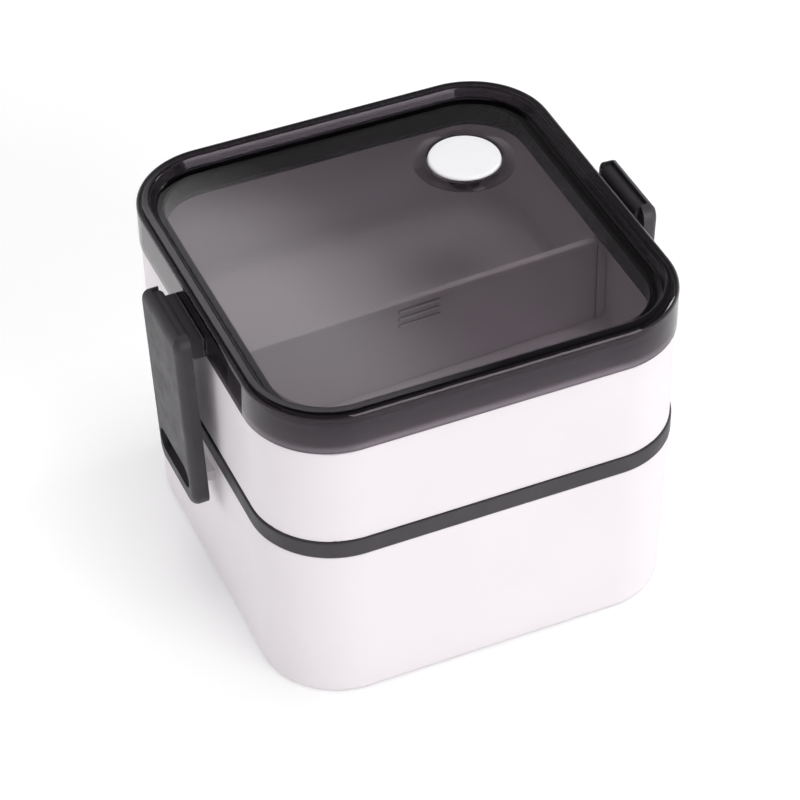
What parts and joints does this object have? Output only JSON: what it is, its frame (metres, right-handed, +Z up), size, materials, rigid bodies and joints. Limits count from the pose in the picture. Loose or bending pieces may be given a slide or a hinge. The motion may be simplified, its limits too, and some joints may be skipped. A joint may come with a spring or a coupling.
{
  "type": "bento lunch box",
  "caption": "Square lunch box in stacked tiers: white containers, dark grey inner lid and side clips, and a smoke-tinted clear lid with a round white steam button.",
  "frame": {"origin": "on the table plane, under the centre of the box", "axes": "+X to the right clip, +Y to the back of the box, +Z up"},
  "size_m": [0.1846, 0.16, 0.133],
  "materials": {
    "white_plastic": "smooth satin moulding",
    "button_white": "smooth moulding",
    "dark_grey_plastic": "fine matt spark texture",
    "smoke_plastic": "clear polished smoke tint",
    "grey_silicone": "soft matt silicone"
  },
  "bodies": {
    "lower_box": {"lower_box": "white_plastic"},
    "middle_lid": {"middle_lid": "dark_grey_plastic", "middle_seal": "grey_silicone"},
    "upper_tray": {"upper_tray": "white_plastic"},
    "divider": {"divider": "white_plastic"},
    "lid": {"lid": "smoke_plastic", "lid_seal": "grey_silicone"},
    "vent_button": {"vent_button": "button_white", "vent_seal": "grey_silicone"},
    "left_clip": {"left_clip": "dark_grey_plastic"},
    "right_clip": {"right_clip": "dark_grey_plastic"}
  },
  "joints": [
    {"name": "middle_lid_lift", "type": "slide", "parent": "lower_box", "child": "middle_lid", "axis": [0, 0, 1], "range_m": [0, 0.09]},
    {"name": "upper_tray_lift", "type": "slide", "parent": "middle_lid", "child": "upper_tray", "axis": [0, 0, 1], "range_m": [0, 0.09]},
    {"name": "divider_lift", "type": "slide", "parent": "upper_tray", "child": "divider", "axis": [0, 0, 1], "range_m": [0, 0.09]},
    {"name": "lid_lift", "type": "slide", "parent": "divider", "child": "lid", "axis": [0, 0, 1], "range_m": [0, 0.09]},
    {"name": "vent_button_lift", "type": "slide", "parent": "lid", "child": "vent_button", "axis": [0, 0, 1], "range_m": [0, 0.003]},
    {"name": "right_clip_hinge", "type": "hinge", "parent": "lid", "child": "right_clip", "pos_m": [0.0876, 0, 0.1248], "axis": [0, -1, 0], "range_deg": [0, 100]},
    {"name": "left_clip_hinge", "type": "hinge", "parent": "lid", "child": "left_clip", "pos_m": [-0.0876, 0, 0.1248], "axis": [0, 1, 0], "range_deg": [0, 100]}
  ]
}
